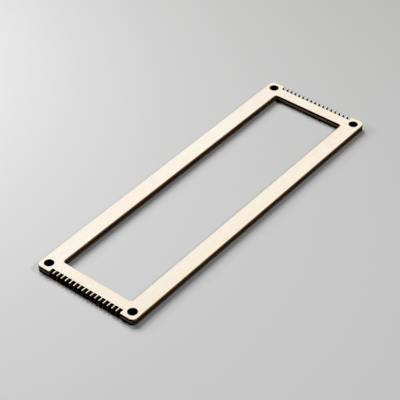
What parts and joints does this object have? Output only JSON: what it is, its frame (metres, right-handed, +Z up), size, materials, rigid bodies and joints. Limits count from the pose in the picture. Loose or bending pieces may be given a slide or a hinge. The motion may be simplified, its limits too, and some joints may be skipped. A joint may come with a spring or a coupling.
{
  "type": "weaving loom board",
  "caption": "Flat rectangular plywood hand loom: an open frame with a comb of warp slots on each short end and a round hole in each corner.",
  "frame": {"origin": "centre of the underside, on the surface that the board lies on", "axes": "+X across the board, +Y along its length towards one comb, +Z up out of the face veneer"},
  "size_m": [0.08, 0.248, 0.005],
  "materials": {
    "outer_veneer": "sanded bare basswood, charred brown where the laser cut it",
    "core_veneer": "bare wood, seen only as the charred cut edge",
    "glue": "hard resin film, charred at the cut edge"
  },
  "bodies": {
    "root": {"face_veneer": "outer_veneer", "upper_glue_line": "glue", "core_veneer": "core_veneer", "lower_glue_line": "glue", "back_veneer": "outer_veneer"}
  },
  "joints": []
}
